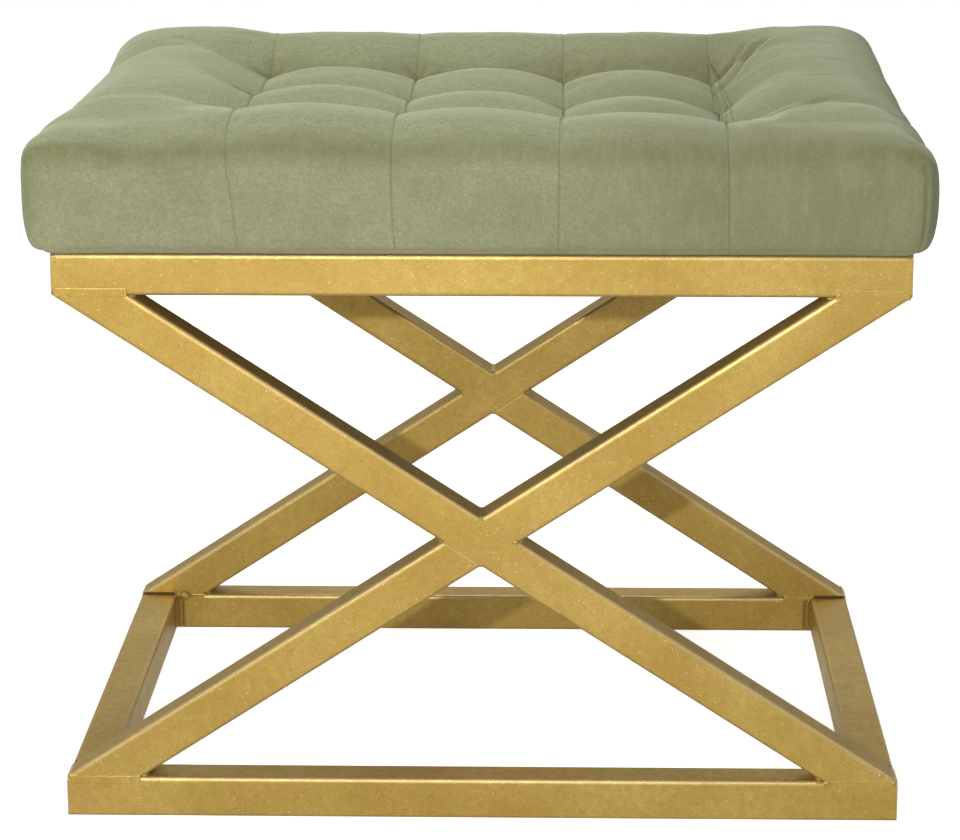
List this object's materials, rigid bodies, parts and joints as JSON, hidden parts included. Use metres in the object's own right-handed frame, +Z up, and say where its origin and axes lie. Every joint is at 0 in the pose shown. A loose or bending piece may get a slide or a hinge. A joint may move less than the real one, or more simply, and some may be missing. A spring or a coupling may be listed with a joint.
{
  "type": "x frame stool",
  "caption": "Low fixed stool: a welded square tube frame with crossed braces front and back, and a tufted velvet seat cushion.",
  "frame": {"origin": "on the floor, under the middle of the seat", "axes": "+X to the right along the long side, +Y to the back, +Z up; the front X frame faces -Y"},
  "size_m": [0.5422, 0.4406, 0.4372],
  "materials": {
    "gold_paint": "antique gold paint with fine metallic flakes, satin",
    "velvet": "sage green short pile velvet with a soft sheen",
    "foam": "open cell upholstery foam",
    "plywood": "raw plywood",
    "dust_cloth": "black non-woven cloth",
    "twine": "waxed twine",
    "zinc_steel": "bright zinc plate"
  },
  "bodies": {
    "root": {"front_top_rail": "gold_paint", "front_top_end_plate_left": "gold_paint", "front_top_end_plate_right": "gold_paint", "front_bottom_rail": "gold_paint", "front_bottom_end_plate_left": "gold_paint", "front_bottom_end_plate_right": "gold_paint", "front_brace_through": "gold_paint", "front_brace_upper": "gold_paint", "front_brace_lower": "gold_paint", "back_top_rail": "gold_paint", "back_top_end_plate_left": "gold_paint", "back_top_end_plate_right": "gold_paint", "back_bottom_rail": "gold_paint", "back_bottom_end_plate_left": "gold_paint", "back_bottom_end_plate_right": "gold_paint", "back_brace_through": "gold_paint", "back_brace_upper": "gold_paint", "back_brace_lower": "gold_paint", "left_bottom_rail": "gold_paint", "right_bottom_rail": "gold_paint", "left_top_rail": "gold_paint", "right_top_rail": "gold_paint", "weld_bottom_front_left": "gold_paint", "weld_bottom_front_right": "gold_paint", "weld_bottom_back_right": "gold_paint", "weld_bottom_back_left": "gold_paint", "weld_top_front_left": "gold_paint", "weld_top_front_right": "gold_paint", "weld_top_back_right": "gold_paint", "weld_top_back_left": "gold_paint", "velvet_cover": "velvet", "foam_block": "foam", "seat_board": "plywood", "dust_cloth": "dust_cloth", "tuft_tie_front_1": "twine", "tuft_tie_front_2": "twine", "tuft_tie_front_3": "twine", "tuft_tie_front_4": "twine", "tuft_tie_middle_1": "twine", "tuft_tie_middle_2": "twine", "tuft_tie_middle_3": "twine", "tuft_tie_middle_4": "twine", "tuft_tie_back_1": "twine", "tuft_tie_back_2": "twine", "tuft_tie_back_3": "twine", "tuft_tie_back_4": "twine", "seat_screw_front_left": "zinc_steel", "seat_screw_front_right": "zinc_steel", "seat_screw_back_left": "zinc_steel", "seat_screw_back_right": "zinc_steel", "seat_washer_front_left": "zinc_steel", "seat_washer_front_right": "zinc_steel", "seat_washer_back_left": "zinc_steel", "seat_washer_back_right": "zinc_steel"}
  },
  "joints": []
}
